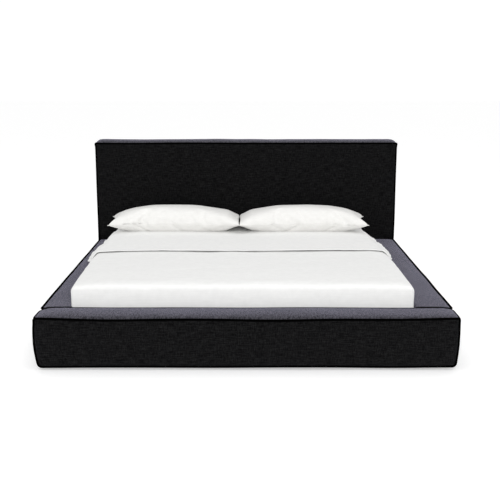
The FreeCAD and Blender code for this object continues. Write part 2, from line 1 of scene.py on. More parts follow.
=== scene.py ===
"""Looks of an upholstered platform bed with storage drawers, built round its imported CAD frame.

Lengths are in metres. +X is to the right seen from the foot, +Y runs from the foot to the headboard.
"""
import math
import bmesh
import bpy
import numpy as np
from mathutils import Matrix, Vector


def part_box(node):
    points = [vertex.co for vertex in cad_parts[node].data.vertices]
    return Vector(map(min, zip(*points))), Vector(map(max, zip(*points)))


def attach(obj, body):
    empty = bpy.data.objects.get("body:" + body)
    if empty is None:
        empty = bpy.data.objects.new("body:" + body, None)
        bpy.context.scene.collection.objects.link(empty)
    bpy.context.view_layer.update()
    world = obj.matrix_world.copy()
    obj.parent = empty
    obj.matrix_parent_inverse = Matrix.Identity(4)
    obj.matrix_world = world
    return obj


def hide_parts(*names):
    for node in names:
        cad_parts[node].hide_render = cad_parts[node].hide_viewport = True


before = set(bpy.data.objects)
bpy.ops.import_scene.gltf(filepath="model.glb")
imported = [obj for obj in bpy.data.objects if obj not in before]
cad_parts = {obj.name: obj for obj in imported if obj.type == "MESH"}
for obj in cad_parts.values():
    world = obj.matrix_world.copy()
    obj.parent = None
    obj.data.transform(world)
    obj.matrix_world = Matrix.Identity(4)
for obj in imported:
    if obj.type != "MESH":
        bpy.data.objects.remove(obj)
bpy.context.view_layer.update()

# ---- camera ----
CAMERA_BACK = 4.646  # in front of the foot rail's face
CAMERA_HEIGHT = 1.660
CAMERA_PITCH = 11.81  # degrees below level
CAMERA_LENS = 62.68  # mm, on a 36 mm sensor
CAMERA_SHIFT_X = 0.007

# ---- upholstery ----
WELT_R = 0.0068  # piping
RAIL_WELT_R = 0.0085  # and along the side rails, where the cloth beside it lies flatter
WELT_INSET = 0.0008  # its centre line behind the two faces that meet
DRAWER_WELT_R = 0.0028  # the finer piping of the drawer fronts
DRAWER_WELT_INSET = 0.002
PUFF = 0.020  # how fast a padded face rises from its seams
CELL = 0.014  # size of most mesh cells
SEAM_LINES = (0.003, 0.007, 0.012, 0.018, 0.026)  # where the cells are closer, beside each edge
CLOSEST_LINES = 0.0015  # grid lines aren't nearer than this
LEFT_BULGE = 0.007  # how far the headboard's left side stands out
SEAM_STEP = 0.01  # between the points of a line of piping
FINE_WANDER = (0.0009, 0.045)  # height and length of the dimples beside a seam
BROAD_WANDER = (0.0012, 0.35)  # and of the waves across a panel


# ---- numbers ----
def waves(points, length, seed, count=12):
    """A smooth random field of about -1 to 1 at the points, whose features are about that long."""
    r = np.random.default_rng(seed)
    k = r.normal(size=(count, 3))
    k *= (2 * math.pi / length) * r.uniform(0.6, 1.5, (count, 1)) / np.linalg.norm(k, axis=1, keepdims=True)
    phase = r.uniform(0, 2 * math.pi, count)
    return np.sin(points @ k.T + phase).sum(axis=1) / (1.5 * math.sqrt(count / 2))


def ramp(a, b, x):
    """0 below a, 1 above b, smooth between."""
    t = np.clip((x - a) / (b - a), 0, 1)
    return t * t * (3 - 2 * t)


def lines(lo, hi, cell, stops=()):
    """Grid lines from lo to hi, about a cell apart, closer beside both ends and beside each stop."""
    beside = (0, *SEAM_LINES, *(-gap for gap in SEAM_LINES))
    marks = sorted({at + gap for at in (lo, hi, *stops) for gap in beside if lo <= at + gap <= hi})
    kept = [marks[0]]
    for m in marks[1:]:
        if m - kept[-1] > CLOSEST_LINES or m in (hi, *stops):
            kept.append(m)
    out = [lo]
    for a, b in zip(kept, kept[1:]):
        n = max(1, math.ceil((b - a) / cell))
        out += [a + (b - a) * i / n for i in range(1, n + 1)]
    return np.array(out)


def distances(points):
    """How far each of a line's points lies along it."""
    return np.concatenate([[0], np.cumsum(np.linalg.norm(np.diff(points, axis=0), axis=1))])


# ---- meshes ----
def new_object(name, data):
    """An object with that data, in the scene."""
    obj = bpy.data.objects.new(name, data)
    bpy.context.scene.collection.objects.link(obj)
    return obj


def make_object(name, points, faces, uv=None, smooth=True):
    """A mesh object. uv is one pair of metres per face corner."""
    mesh = bpy.data.meshes.new(name)
    mesh.from_pydata([tuple(p) for p in points], [], [tuple(int(i) for i in f) for f in faces])
    if uv is not None:
        mesh.uv_layers.new(name="weave").data.foreach_set("uv", np.asarray(uv, dtype=float).ravel())
    mesh.polygons.foreach_set("use_smooth", [smooth] * len(mesh.polygons))
    mesh.update()
    return new_object(name, mesh)


# each face of a box is an axis and 0 or 1 for its low or high end
LEFT, RIGHT, FOOT, HEAD, UNDER, TOP = (0, 0), (0, 1), (1, 0), (1, 1), (2, 0), (2, 1)
OUTWARD = {0: -1.0, 1: 1.0}


def box(node):
    """The low and high corner of a CAD node, as arrays."""
    return [np.array(corner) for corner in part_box(node)]


def facing(side):
    """The sign of X on a side of the bed, and the outer and inner faces of a box there."""
    return (1, RIGHT, LEFT) if side == "right" else (-1, LEFT, RIGHT)


def grid_cells(nx, ny):
    """The four corners, as column and row, of every cell of a grid of points."""
    for j in range(ny - 1):
        for i in range(nx - 1):
            yield (i, j), (i + 1, j), (i + 1, j + 1), (i, j + 1)


class Shell:
    """The surface of a box as one grid, with each vertex's flat place and the faces it lies on."""

    def __init__(self, *grids):
        n = [len(g) for g in grids]
        quads, sides = [], []
        for axis in range(3):
            a, b = [k for k in range(3) if k != axis]
            i, j = (m.ravel() for m in np.meshgrid(range(n[a] - 1), range(n[b] - 1), indexing="ij"))
            for end in (0, 1):
                corners = [(0, 0), (1, 0), (1, 1), (0, 1)]
                if (end == 0) != (axis == 1):
                    corners.reverse()
                quad = []
                for di, dj in corners:
                    at = [0, 0, 0]
                    at[axis], at[a], at[b] = end * (n[axis] - 1), i + di, j + dj
                    quad.append((at[0] * n[1] + at[1]) * n[2] + at[2])
                quads.append(np.stack(quad, axis=-1))
                sides += [(axis, end)] * len(i)
        codes, quads = np.unique(np.concatenate(quads), return_inverse=True)
        self.quads = quads.reshape(-1, 4)
        self.sides = np.array(sides)
        index = (codes // (n[1] * n[2]), codes // n[2] % n[1], codes % n[2])
        self.flat = np.stack([g[i] for g, i in zip(grids, index)], axis=1)
        self.lo = self.flat.min(axis=0)
        self.hi = self.flat.max(axis=0)
        self.on = {(k, e): index[k] == e * (n[k] - 1) for k in range(3) for e in (0, 1)}

    def gap(self, face):
        """Distance of every vertex from the plane of that face."""
        axis, end = face
        return abs(self.flat[:, axis] - (self.hi if end else self.lo)[axis])

    def middles(self):
        """The flat middle of every quad."""
        return self.flat[self.quads].mean(axis=1)

    def quads_on(self, *faces):
        """Whether each quad lies on any of those faces."""
        return np.array([tuple(side) in faces for side in self.sides])

    def keep(self, wanted):
        """Drops the quads that aren't wanted."""
        self.quads, self.sides = self.quads[wanted], self.sides[wanted]

    def uv(self):
        """Metres along each face, so that the weave runs square to its edges."""
        across = np.array([(1, 2), (0, 2), (0, 1)])[self.sides[:, 0]]
        return np.take_along_axis(self.flat[self.quads], across[:, None].repeat(4, axis=1), axis=2)

    def object(self, name, points):
        """The shell as an object, with its vertices at the given places."""
        used, faces = np.unique(self.quads, return_inverse=True)
        return make_object(name, points[used], faces.reshape(-1, 4), self.uv())


def box_shell(lo, hi, cells=(CELL,) * 3, stops=((),) * 3):
    """The shell of a box. cells and stops give the size of its cells and its stops along each axis."""
    return Shell(*map(lines, lo, hi, cells, stops))


def puffed(shell, crown, seams, wraps=(), height=None, slow=None, tuck=WELT_INSET):
    """Vertices of a padded box. crown gives each face's rise, seams the pairs of faces that a seam joins.

    slow gives the faces that rise over another length than PUFF.
    wraps gives pairs of faces where the cloth runs round a soft edge, with its radius.
    height, if given, multiplies the crown at every vertex. tuck is how far the seams lie in.
    """
    points = shell.flat.copy()
    for face, on in shell.on.items():
        axis, end = face
        rise = np.ones(len(points))
        seamed = [other for pair in seams if face in pair for other in pair if other != face]
        for other in seamed:
            rise *= 1 - np.exp(-shell.gap(other) / (slow or {}).get(face, PUFF))
        if height is not None:
            rise *= height
        inset = tuck if seamed else 0.0
        offset = rise * (crown.get(face, 0.0) + inset) - inset
        if seamed:
            near = np.min([shell.gap(other) for other in seamed], axis=0)
            beside = np.exp(-near / 0.03) * (1 - np.exp(-near / 0.006))
            fine, fine_length = FINE_WANDER
            broad, broad_length = BROAD_WANDER
            offset += fine * waves(shell.flat, fine_length, 11 + axis) * beside
            offset += broad * waves(shell.flat, broad_length, 23 + axis) * (1 - np.exp(-near / 0.05))
        points[on, axis] += OUTWARD[end] * offset[on]
    for one, other, radius in wraps:
        turn_edge(shell, points, one, other, radius)
    return points


def turn_edge(shell, points, one, other, radius):
    """Rounds the edge where two faces of a shell meet. radius is one number, or one for every vertex."""
    for face, side in ((one, other), (other, one)):
        on = shell.on[face]
        d = shell.gap(side)[on]
        r = np.broadcast_to(radius, on.shape)[on]
        turn = np.clip(math.pi / 4 - d / r, 0, None)
        points[on, face[0]] -= OUTWARD[face[1]] * r * (1 - np.cos(turn))
        slide = np.where(turn > 0, r - r * np.sin(turn) - d, r * (1 - math.pi / 4))
        fade = np.clip(1 - (d - r * math.pi / 4) / (4 * r), 0, 1)
        alone = ~shell.on[side][on]
        points[np.flatnonzero(on)[alone], side[0]] -= OUTWARD[side[1]] * (slide * fade)[alone]


def round_corner(points, axes, corner, radius):
    """Rounds a box's corner in the plane of two axes, given its place and its side's sign along each."""
    (a, b), ((pa, sa), (pb, sb)) = axes, corner
    u = (points[:, a] * sa - (pa * sa - radius)) / radius
    v = (points[:, b] * sb - (pb * sb - radius)) / radius
    inside = (u > 0) & (v > 0)
    u, v = u[inside], v[inside]
    new_u = u * np.sqrt(1 - np.clip(v, 0, 1.2) ** 2 / 2)
    new_v = v * np.sqrt(1 - np.clip(u, 0, 1.2) ** 2 / 2)
    out = points.copy()
    out[inside, a] = (pa * sa - radius + radius * new_u) * sa
    out[inside, b] = (pb * sb - radius + radius * new_v) * sb
    return out


def tube(name, paths, radius, sides=10):
    """A cord along each path, a list of (points, closed)."""
    verts, faces, uv = [], [], []
    ring = np.linspace(0, 2 * math.pi, sides, endpoint=False)
    girth = 6.28 * radius
    for points, closed in paths:
        points = np.asarray(points)
        n = len(points)
        ahead = np.roll(points, -1, axis=0) - np.roll(points, 1, axis=0)
        if not closed:
            ahead[0], ahead[-1] = points[1] - points[0], points[-1] - points[-2]
        ahead /= np.linalg.norm(ahead, axis=1, keepdims=True)
        up = np.cross(ahead[0], (0.31, 0.52, 0.79))
        run = distances(np.concatenate([points, points[:1]]) if closed else points)
        base = len(verts)
        for p, t in zip(points, ahead):
            up = up - t * (up @ t)
            up /= np.linalg.norm(up)
            side = np.cross(t, up)
            verts += [p + radius * (math.cos(a) * up + math.sin(a) * side) for a in ring]
        for corners in grid_cells(sides + 1, len(run)):
            faces.append([base + j % n * sides + i % sides for i, j in corners])
            uv += [(run[j], i / sides * girth) for i, j in corners]
        if not closed:
            for start, order in ((base, -1), (base + (n - 1) * sides, 1)):
                faces.append(tuple(range(start, start + sides))[::order])
                uv += [(0.0, 0.0)] * sides
    return make_object(name, verts, faces, uv)


def seam_line(lo, hi, corners, inset=WELT_INSET):
    """Places of the piping's centre line along a box's edges, before it is bent.

    Each corner is a triple of 0 or 1, for the low or high end along each axis.
    """
    low, high = np.asarray(lo) + inset, np.asarray(hi) - inset
    ends = np.array([[(low, high)[c][k] for k, c in enumerate(corner)] for corner in corners])
    out = []
    for a, b in zip(ends, ends[1:]):
        n = max(2, int(np.linalg.norm(b - a) / SEAM_STEP))
        out.append(a + (b - a) * np.linspace(0, 1, n, endpoint=False)[:, None])
    return np.concatenate([*out, ends[-1:]])


def seam_loop(lo, hi, face, inset=WELT_INSET):
    """The same, all round one face of the box."""
    axis, end = face
    ring = [(0, 0), (0, 1), (1, 1), (1, 0), (0, 0)]
    return seam_line(lo, hi, [(*ab[:axis], end, *ab[axis:]) for ab in ring], inset)[:-1]


# ---- materials ----
class Nodes:
    """A short way to write a material's nodes."""

    def __init__(self, name):
        self.material = bpy.data.materials.new(name)
        self.material.use_nodes = True
        self.tree = self.material.node_tree
        self.shader = self.tree.nodes["Principled BSDF"]

    def cloth(self):
        """Metres along the weave."""
        return self.add("UVMap", uv_map="weave").outputs[0]

    def place(self):
        """Metres in the object's own frame."""
        return self.add("TexCoord").outputs["Object"]

    def add(self, kind, inputs=(), **settings):
        """A node of that kind with those inputs, each a value or a socket to link."""
        node = self.tree.nodes.new("ShaderNode" + kind)
        for key, value in settings.items():
            setattr(node, key, value)
        for key, value in dict(inputs).items():
            self.put(node, key, value)
        return node

    def put(self, node, key, value):
        if isinstance(value, bpy.types.NodeSocket):
            self.tree.links.new(value, node.inputs[key])
        elif node.inputs[key].type == "RGBA":
            node.inputs[key].default_value = (*value, 1)
        else:
            node.inputs[key].default_value = value

    def set(self, **inputs):
        for key, value in inputs.items():
            self.put(self.shader, key.replace("_", " "), value)

    def math(self, operation, a, b=0.0):
        return self.add("Math", {0: a, 1: b}, operation=operation).outputs[0]

    def total(self, *parts):
        """The sum of values, each given with its weight."""
        out = None
        for value, weight in parts:
            share = self.math("MULTIPLY", value, weight)
            out = share if out is None else self.math("ADD", out, share)
        return out

    def noise(self, vector, scale, detail=2.0, rough=0.5):
        inputs = {"Vector": vector, "Scale": scale, "Detail": detail, "Roughness": rough}
        return self.add("TexNoise", inputs).outputs["Fac"]

    def stretch(self, vector, scale):
        return self.add("Mapping", {"Vector": vector, "Scale": scale}).outputs[0]

    def mix(self, factor, a, b):
        return self.add("Mix", {0: factor, 6: a, 7: b}, data_type="RGBA").outputs[2]

    def span(self, value, low, high, to_low=0.0, to_high=1.0):
        inputs = {"Value": value, "From Min": low, "From Max": high, "To Min": to_low, "To Max": to_high}
        return self.add("MapRange", inputs).outputs[0]

    def bump(self, height, distance, strength=1.0, normal=None):
        inputs = {"Height": height, "Distance": distance, "Strength": strength}
        if normal is not None:
            inputs["Normal"] = normal
        return self.add("Bump", inputs).outputs[0]

    def weave(self, vector, pitch):
        """A plain weave's height, from 0 to 1, with threads that far apart."""
        split = self.add("SeparateXYZ", {"Vector": self.stretch(vector, (math.pi / pitch,) * 3)})
        u = self.math("SINE", split.outputs[0])
        v = self.math("SINE", split.outputs[1])
        over = self.math("GREATER_THAN", self.math("MULTIPLY", u, v), 0.0)
        a = self.math("MULTIPLY", self.math("ABSOLUTE", u), over)
        b = self.math("MULTIPLY", self.math("ABSOLUTE", v), self.math("SUBTRACT", 1.0, over))
        return self.math("ADD", a, b)


def linen(name, dark, light, sheen, tint, specular, painted_top_sheen=None):
    """Heathered, slubby upholstery cloth on a piece with a weave UV map.

    The last argument holds two colours, darker and paler, painted in random flecks on the cloth's upward
    faces: a painted sheen that makes the tops lighter than the sides.
    """
    n = Nodes(name)
    uv = n.cloth()
    slub_u = n.noise(n.stretch(uv, (18, 160, 1)), 1.0, 3.0, 0.6)
    slub_v = n.noise(n.stretch(uv, (190, 26, 1)), 1.0, 3.0, 0.6)
    warp = n.noise(n.stretch(uv, (60, 900, 1)), 1.0, 2.0)
    weft = n.noise(n.stretch(uv, (900, 60, 1)), 1.0, 2.0)
    fleck = n.noise(uv, 170.0, 4.0, 0.75)
    mottle = n.total((slub_u, 0.25), (slub_v, 0.23), (fleck, 0.24), (warp, 0.16), (weft, 0.12))
    heather = n.span(mottle, 0.455, 0.59)
    colour = n.mix(heather, dark, light)
    if painted_top_sheen:
        # painted sheen: faces that look upwards get lighter colours, in random flecks, standing in for light
        # caught on the tops
        upwards = n.add("SeparateXYZ", {"Vector": n.add("NewGeometry").outputs["Normal"]}).outputs[2]
        flecks = n.noise(n.stretch(uv, (105, 36, 1)), 1.0, 2.0, 0.75)
        flecked_painted_sheen = n.mix(n.span(n.total((flecks, 0.7), (slub_v, 0.3)), 0.42, 0.58), *painted_top_sheen)
        colour = n.mix(n.span(upwards, 0.35, 0.95), colour, flecked_painted_sheen)
    threads = n.bump(n.weave(uv, 0.0021), 0.0005, 0.6)
    normal = n.bump(mottle, 0.0042, 0.9, threads)
    n.set(Base_Color=colour, Roughness=n.span(heather, 0, 1, 0.95, 0.80), Normal=normal,
          Sheen_Weight=sheen, Sheen_Roughness=0.34, Sheen_Tint=tint, Specular_IOR_Level=specular)
    return n.material


def cotton(name, colour, shade, pitch=0.0006, crumple=0.0005):
    """Smooth white bed linen on a piece with a weave UV map."""
    n = Nodes(name)
    uv = n.cloth()
    threads = n.weave(uv, pitch)
    soft = n.noise(uv, 26.0, 4.0, 0.55)
    streak = n.noise(n.stretch(uv, (6, 160, 1)), 1.0, 2.0)
    normal = n.bump(soft, crumple, 0.7, n.bump(threads, 0.00012, 0.5))
    tone = n.span(n.total((soft, 0.6), (streak, 0.4)), 0.35, 0.65)
    n.set(Base_Color=n.mix(tone, shade, colour), Roughness=n.span(soft, 0.3, 0.7, 0.92, 0.82),
          Normal=normal, Sheen_Weight=0.15, Sheen_Roughness=0.5, Specular_IOR_Level=0.25)
    return n.material


def wood(name, light, dark, grain_axis, rough=0.5):
    """Planed wood, with its grain along one axis."""
    n = Nodes(name)
    place = n.place()

    def drawn_out(along, across):
        scale = [across] * 3
        scale[grain_axis] = along
        return n.stretch(place, scale)

    grain = n.noise(drawn_out(1.6, 38.0), 1.0, 5.0, 0.62)
    pores = n.noise(drawn_out(12.0, 420.0), 1.0, 2.0)
    rings = n.math("FRACT", n.math("MULTIPLY", grain, 7.0))
    tone = n.total((rings, 0.55), (pores, 0.45))
    n.set(Base_Color=n.mix(tone, dark, light), Roughness=n.span(pores, 0.3, 0.7, rough + 0.12, rough - 0.05),
          Normal=n.bump(pores, 0.0004, 0.4), Specular_IOR_Level=0.4)
    return n.material


def hard(name, colour, other, rough, patches=(45.0, 4.0, 0.6), band=(0.3, 0.7), grain=(900.0, 0.25),
         metallic=0.0):
    """Steel or plastic, with patches of another colour under a fine grain.

    rough gives the two roughnesses, patches their noise, band the part of it over which the colour changes,
    and grain its scale and strength.
    """
    n = Nodes(name)
    place = n.place()
    patch = n.noise(place, *patches)
    scale, strength = grain
    n.set(Base_Color=n.mix(n.span(patch, *band), colour, other), Metallic=metallic,
          Roughness=n.span(patch, 0.3, 0.7, *rough), Normal=n.bump(n.noise(place, scale), 0.0002, strength))
    return n.material


def tape(name, colour, shade):
    """Woven webbing, on a CAD node without UVs."""
    n = Nodes(name)
    place = n.place()
    ribs = n.weave(place, 0.0022)
    soil = n.noise(place, 30.0, 3.0)
    n.set(Base_Color=n.mix(n.span(soil, 0.3, 0.7), shade, colour),
          Roughness=n.span(soil, 0.3, 0.7, 0.95, 0.85), Normal=n.bump(ribs, 0.0005, 0.7), Sheen_Weight=0.2)
    return n.material


# light and dark of each wood
PLYWOOD = (0.60, 0.42, 0.25), (0.44, 0.28, 0.15)
PINE = (0.66, 0.47, 0.27), (0.50, 0.31, 0.15)
BIRCH = (0.68, 0.52, 0.34), (0.56, 0.39, 0.23)


def paint_materials():
    """Every material, by name. The names of woods end with the axis of their grain."""
    made = {
        # the charcoal linen's last two colours are painted sheen on its upward faces, in random flecks
        "linen": linen("charcoal_linen", (0.0001, 0.0001, 0.0001), (0.0125, 0.0125, 0.0127), 0.46,
                       (0.80, 0.775, 1.0), 0.06, ((0.014, 0.0135, 0.016), (0.072, 0.070, 0.081))),
        "welt": linen("black_welt", (0.0004, 0.0004, 0.0004), (0.0015, 0.0015, 0.0016), 0.0,
                      (0.5, 0.5, 0.6), 0.0),
        "cotton": cotton("white_cotton", (0.88, 0.88, 0.87), (0.83, 0.83, 0.82)),
        "pillow": cotton("pillowcase_cotton", (0.845, 0.838, 0.818), (0.79, 0.783, 0.763), crumple=0.0008),
        "ticking": cotton("mattress_knit", (0.80, 0.80, 0.79), (0.72, 0.72, 0.71), 0.0016, 0.0012),
        "birch": wood("lacquered_birch", *BIRCH, 1, 0.36),
        "zinc": hard("zinc_plate", (0.48, 0.49, 0.52), (0.66, 0.67, 0.70), (0.44, 0.29), metallic=1.0),
        "black_steel": hard("black_powder_coat", (0.035, 0.035, 0.036), (0.02, 0.02, 0.021), (0.60, 0.45)),
        "glide": hard("glide_plastic", (0.02, 0.02, 0.02), (0.05, 0.05, 0.048), (0.62, 0.48),
                      (60.0, 3.0), (0.35, 0.7), (1400.0, 0.3)),
        "tape": tape("cotton_tape", (0.72, 0.70, 0.65), (0.62, 0.60, 0.55)),
    }
    for axis, letter in enumerate("xy"):
        made[f"ply_{letter}"] = wood(f"birch_ply_{letter}", *PLYWOOD, axis)
    for axis, letter in enumerate("xyz"):
        made[f"pine_{letter}"] = wood(f"pine_{letter}", *PINE, axis)
    return made


MATERIALS = paint_materials()


def finish_piece(obj, material, body, nodes):
    """Gives a piece its material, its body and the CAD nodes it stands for."""
    obj.data.materials.append(MATERIALS[material])
    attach(obj, body)
    if nodes:
        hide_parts(*nodes)


def upholster(cover, body, nodes):
    """Finishes a padded cover in the upholstery cloth."""
    finish_piece(cover, "linen", body, nodes)


def pipe(name, paths, radius, body, nodes=()):
    """Makes piping along each path, a list of (points, closed)."""
    finish_piece(tube(name, paths, radius), "welt", body, nodes)


# ---- foot rail and headboard ----
def wobble(points, amount, seed):
    """The points moved a little, as hand-built upholstery wanders."""
    move = np.stack([waves(points, 0.55, seed + k) for k in range(3)], axis=1)
    return points + amount * move


def warp_box(points, lo, hi, top_r, bottom_r, seed, back_r=None):
    """The bends that a padded box and its piping share. back_r rounds the back corners, near the top only."""
    lo, hi = lo + WELT_INSET, hi - WELT_INSET
    for side, x in ((-1, lo[0]), (1, hi[0])):
        points = round_corner(points, (0, 2), ((x, side), (hi[2], 1)), top_r)
        points = round_corner(points, (0, 2), ((x, side), (lo[2], -1)), bottom_r)
        if back_r:
            corner = ((x, side), (hi[1], 1))
            top = hi[2] + WELT_INSET
            share = ramp(top - 0.028, top - 0.008, points[:, 2])[:, None]
            above = round_corner(points, (0, 1), corner, back_r[side > 0])
            below = round_corner(points, (0, 1), corner, 0.008)
            points = below + (above - below) * share
    return wobble(points, 0.0012, seed)


def eared(points, lo, hi, amount):
    """Pushes the top corners of a box out where the piping is pinched together."""
    for side, x in ((-1, lo[0]), (1, hi[0])):
        away = np.hypot(points[:, 0] - x, points[:, 2] - hi[2])
        push = amount * np.exp(-(away / 0.020) ** 2)
        points[:, 0] += side * push
        points[:, 2] += 0.5 * push
    return points


def tapered(points, lo, hi, left, right):
    """Draws each end in a little at its top and more towards its bottom, so that it bulges at half height.

    Behind the front edge it is drawn in less, to stay clear of the frame inside.
    """
    up = (points[:, 2] - lo[2]) / (hi[2] - lo[2])
    draw = np.clip((0.50 - up) / 0.50, 0, 1) ** 1.5
    top = 0.006 * np.clip((up - 0.70) / 0.30, 0, 1) ** 1.5
    near = np.clip((abs(points[:, 0]) - hi[0] + 0.30) / 0.30, 0, 1)
    move = np.where(points[:, 0] < 0, left, right) * draw + np.where(points[:, 0] < 0, 1.0, 0.4) * top
    behind = 1 - 0.5 * ramp(lo[1] + 0.008, lo[1] + 0.026, points[:, 1])
    points[:, 0] -= np.sign(points[:, 0]) * move * near * behind


def sagged(points, lo, hi, amount):
    """Lets the top front edge of the foot rail dip towards its middle."""
    across = 1 - np.clip(abs(points[:, 0]) / hi[0], 0, 1) ** 4
    near_front = np.exp(-np.clip(points[:, 1] - lo[1], 0, None) / 0.05)
    near_top = ramp(lo[2] + 0.12, hi[2], points[:, 2])
    points[:, 2] -= amount * across * near_front * near_top * (1 + 0.3 * np.sin(points[:, 0] * 7.0 + 1.0))
    return points


def foot_rail():
    """The padded box across the foot, with piping round its front face and round its top."""
    lo, hi = box("foot_rail_cover")
    shell = box_shell(lo, hi)
    crown = {FOOT: 0.009, TOP: 0.011, LEFT: 0.0005, RIGHT: 0.0005}
    seams = [(FOOT, TOP), (FOOT, LEFT), (FOOT, RIGHT), (FOOT, UNDER), (TOP, LEFT), (TOP, RIGHT), (TOP, HEAD)]
    points = puffed(shell, crown, seams, [(LEFT, HEAD, 0.012), (RIGHT, HEAD, 0.012)])

    def bend(p):
        p = warp_box(p, lo, hi, top_r=0.008, bottom_r=0.018, seed=31, back_r=(0.085, 0.060))
        tapered(p, lo, hi, left=0.019, right=0.011)
        return eared(sagged(p, lo, hi, 0.009), lo, hi, 0.002)

    cover = shell.object("foot_rail_upholstery", bend(points))
    upholster(cover, "base", ["foot_rail_cover", "foot_rail_foam"])
    front = bend(seam_loop(lo, hi, FOOT))
    rim = seam_line(lo, hi, [(0, 0, 1), (0, 1, 1), (1, 1, 1), (1, 0, 1)])
    rim = bend(rim[rim[:, 1] > lo[1] + 0.012])
    pipe("foot_rail_welt", [(front, True), (rim, False)], WELT_R, "base", ["foot_rail_piping"])


def headboard():
    """The padded box at the head, with piping round its front and back faces."""
    lo, hi = box("headboard_cover")
    rail_top = box("foot_rail_cover")[1][2]
    shell = box_shell(lo, hi)
    crown = {FOOT: 0.010, TOP: 0.036, LEFT: 0.001, RIGHT: 0.001, HEAD: 0.004}
    seams = [(end, side) for end in (FOOT, HEAD) for side in (TOP, LEFT, RIGHT, UNDER)]
    # the front is flat behind the bed, and the top keeps its height almost to its ends
    height = ramp(rail_top, rail_top + 0.35, shell.flat[:, 2])
    height[shell.on[HEAD] | shell.on[LEFT] | shell.on[RIGHT]] = 1.0
    ends = np.minimum(shell.gap(LEFT), shell.gap(RIGHT))
    height = np.where(shell.on[TOP], 1 - np.exp(-ends / 0.012), height)
    points = puffed(shell, crown, seams, (), height, {TOP: 0.055})

    def bend(p):
        p = eared(warp_box(p, lo, hi, top_r=0.006, bottom_r=0.012, seed=57), lo, hi, 0.005)
        p[:, 0] -= LEFT_BULGE * ramp(0.0, 1.0, -p[:, 0] / hi[0])
        return p

    cover = shell.object("headboard_upholstery", bend(points))
    upholster(cover, "base", ["headboard_cover", "headboard_foam"])
    paths = [(bend(seam_loop(lo, hi, face)), True) for face in (FOOT, HEAD)]
    pipe("headboard_welt", paths, WELT_R, "base", ["headboard_piping"])


# ---- side rails ----
BAY_GAP = 0.003  # between a drawer front and the sides of its opening
FINGER_GAP = 0.018  # and the top
INNER_HEM = 0.025  # the inner face's cloth ends this far under the openings' top
ROLL = 0.008  # radius of the cloth's turn into an opening
TOUCH = 1e-6  # places closer than this are the same


def side_rail(side):
    """A padded rail with a soft inner edge, piping along its outer edge, and an opening for each drawer."""
    sign, outer_face, inner_face = facing(side)
    lo, hi = box(f"{side}_rail_cover")
    outer = (lo, hi)[outer_face[1]][0]
    boards = [box(f"{place}_{side}_drawer_front_board") for place in ("front", "rear")]
    bays = [(low[1] - BAY_GAP, high[1] + BAY_GAP) for low, high in boards]
    board_back = min(abs(corner[0]) for corner in boards[0])
    opening_top = boards[0][1][2] + FINGER_GAP
    inner_bottom = opening_top - INNER_HEM
    stops = [sign * board_back], [y for bay in bays for y in bay], [opening_top, inner_bottom]
    shell = box_shell(lo, hi, stops=stops)
    crown = {TOP: 0.008, outer_face: 0.001}
    wraps = [(inner_face, TOP, 0.022), (outer_face, UNDER, 0.008)]
    wraps += [(end, face, 0.010) for end in (FOOT, HEAD) for face in (TOP, outer_face)]
    points = puffed(shell, crown, [(outer_face, TOP)], wraps)
    turn_into_bays(shell, points, outer_face, bays, opening_top)

    middles = shell.middles()
    in_bay = np.any([(middles[:, 1] > y0) & (middles[:, 1] < y1) for y0, y1 in bays], axis=0)
    gone = shell.quads_on(outer_face) & in_bay & (middles[:, 2] < opening_top)
    gone |= shell.quads_on(inner_face) & (middles[:, 2] < inner_bottom)
    gone |= shell.quads_on(UNDER) & (in_bay | (abs(middles[:, 0]) < board_back))
    depths = (ROLL, ROLL + 0.012, abs(outer) - board_back)
    rims = [rim_strip(shell, points, outer_face, bay, opening_top, depths) for bay in bays]
    shell.keep(~gone)

    def bend(p):
        near_top = ramp(opening_top + 0.02, hi[2] - 0.02, p[:, 2])[:, None]
        return p + (wobble(p, 0.0009, 71 + sign) - p) * near_top

    cover = shell.object(f"{side}_rail_upholstery", bend(points))
    join_strips(cover, rims, bend)
    upholster(cover, "base", [f"{side}_rail_cover", f"{side}_rail_foam"])
    ys = np.arange(lo[1] + 0.003, hi[1] - 0.003, SEAM_STEP)
    line = np.stack([np.full(len(ys), outer - sign * WELT_INSET), ys,
                     np.full(len(ys), hi[2] - WELT_INSET)], axis=1)
    pipe(f"{side}_rail_welt", [(bend(line), False)], RAIL_WELT_R, "base", [f"{side}_rail_piping"])


def turn_into_bays(shell, points, face, bays, top):
    """Rolls the cloth of a side rail's outer face into each opening, round a soft edge."""
    flat = shell.flat
    for y0, y1 in bays:
        dy = np.maximum(y0 - flat[:, 1], flat[:, 1] - y1)
        dz = flat[:, 2] - top
        d = np.hypot(np.clip(dy, 0, None), np.clip(dz, 0, None))
        near = shell.on[face] & (np.maximum(dy, dz) >= -TOUCH) & (d < ROLL * math.pi / 4 + 1e-9)
        turn = math.pi / 4 - d[near] / ROLL
        points[near, 0] -= OUTWARD[face[1]] * ROLL * (1 - np.cos(turn))
        away = np.stack([np.where(dy[near] >= -TOUCH, np.sign(flat[near, 1] - (y0 + y1) / 2), 0.0),
                         np.where(dz[near] >= -TOUCH, 1.0, 0.0)], axis=1)
        away /= np.linalg.norm(away, axis=1, keepdims=True)
        points[near, 1:] += away * (ROLL - ROLL * np.sin(turn) - d[near])[:, None]


def rim_strip(shell, points, face, bay, top, depths):
    """The cloth that runs in from an opening's edge: a ring of points on the face, and one at each depth."""
    (y0, y1), (_, y, z) = bay, shell.flat.T

    def edge(there, key):
        picked = np.flatnonzero(shell.on[face] & there)
        return picked[np.argsort(key[picked])]

    below = z <= top + TOUCH
    order = np.concatenate([edge(below & (abs(y - y0) < TOUCH), z),
                            edge((abs(z - top) < TOUCH) & (y > y0) & (y < y1), y),
                            edge(below & (abs(y - y1) < TOUCH), -z)])
    rings = [points[order]]
    for depth in depths:
        ring = shell.flat[order]
        ring[:, 0] -= OUTWARD[face[1]] * depth
        rings.append(ring)
    return rings if face == RIGHT else [ring[::-1] for ring in rings]


